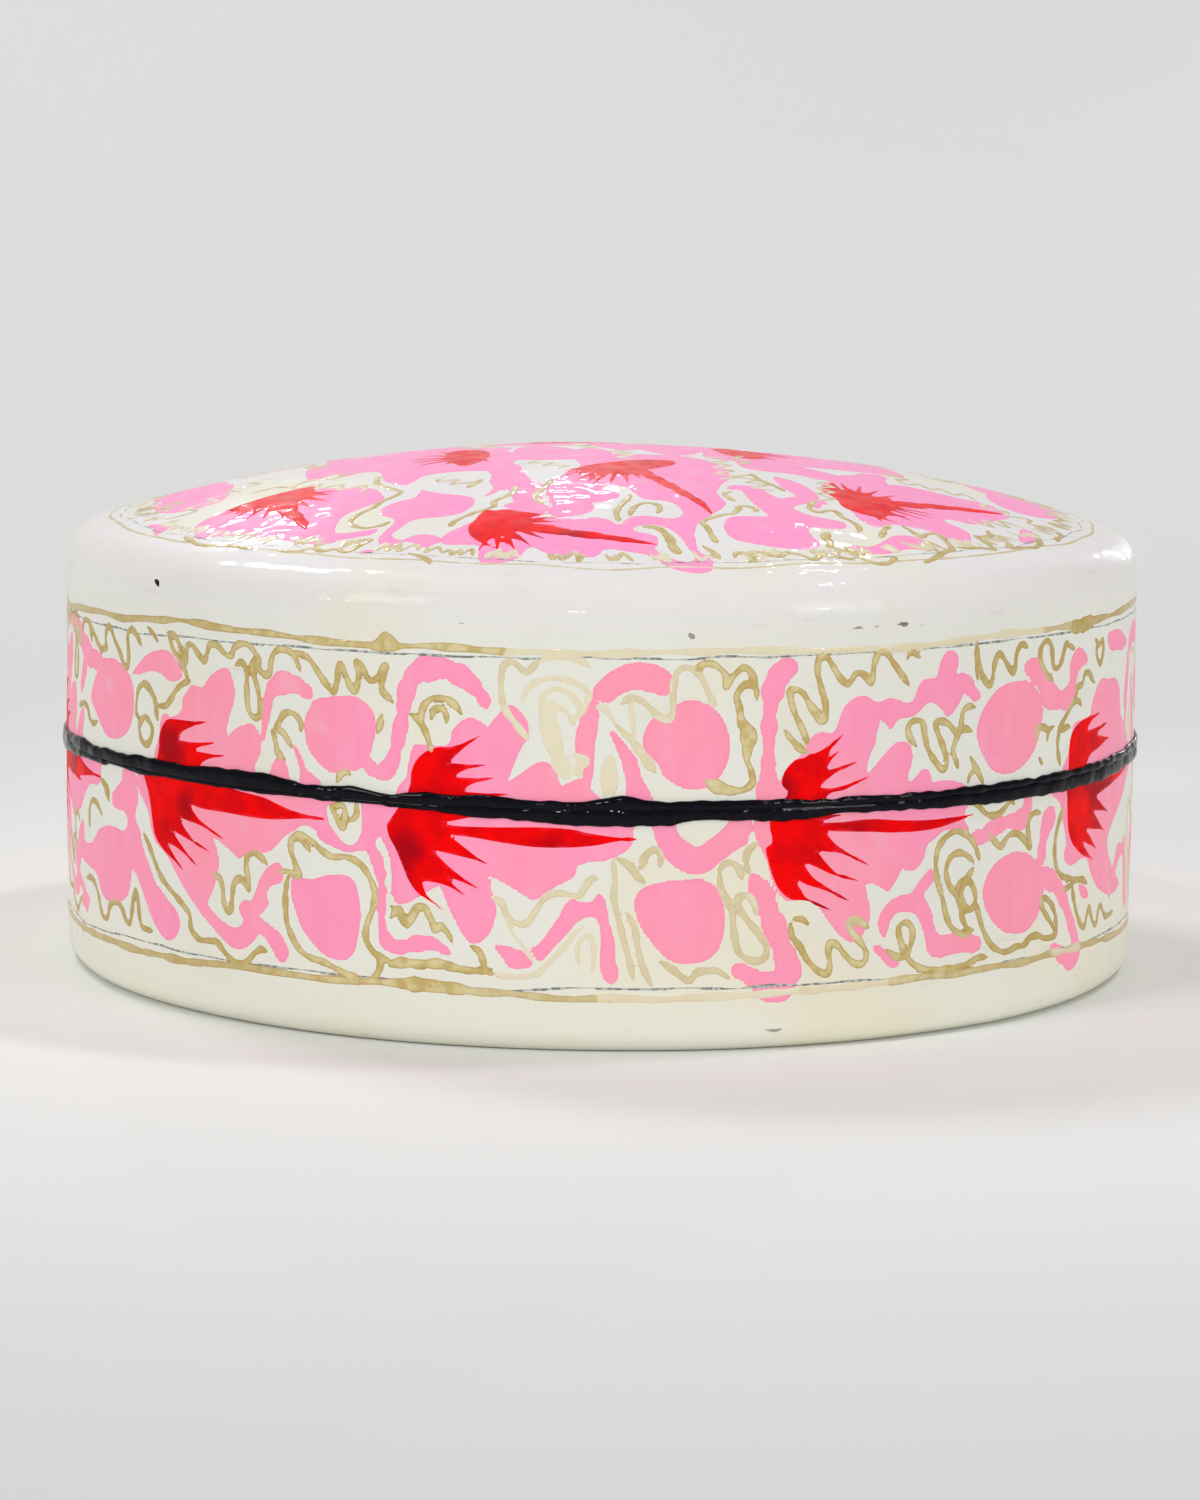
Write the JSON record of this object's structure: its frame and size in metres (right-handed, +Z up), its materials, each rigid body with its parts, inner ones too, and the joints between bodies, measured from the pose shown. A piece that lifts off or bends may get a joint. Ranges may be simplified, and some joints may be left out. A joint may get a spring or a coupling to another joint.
{
  "type": "papier mache box",
  "caption": "Small round papier mache box with a low domed lid that lifts off a neck strip, painted all over with flowers under varnish.",
  "frame": {"origin": "centre of the underside, on the surface that the box stands on", "axes": "+Z up along the axis of the round box, through the centre of the lid; -Y faces the viewer of the picture, with the joint of the neck strip on the +Y side"},
  "size_m": [0.1006, 0.1006, 0.0475],
  "materials": {
    "painted_paper": "cream ground paint under clear gloss varnish",
    "black_lining": "black paint with a satin varnish",
    "black_lacquer": "high gloss",
    "pink_paint": "varnished",
    "red_paint": "varnished",
    "gilt_paint": "varnished, faintly metallic"
  },
  "bodies": {
    "base": {"base_wall": "painted_paper", "base_floor": "painted_paper", "neck_strip": "black_lining", "base_rim_edging": "black_lacquer"},
    "lid": {"lid_rim_edging": "black_lacquer", "lid_wall": "painted_paper", "lid_dome": "painted_paper"}
  },
  "joints": [
    {"name": "lid_lift", "type": "slide", "parent": "base", "child": "lid", "axis": [0, 0, 1], "range_m": [0, 0.06]}
  ]
}
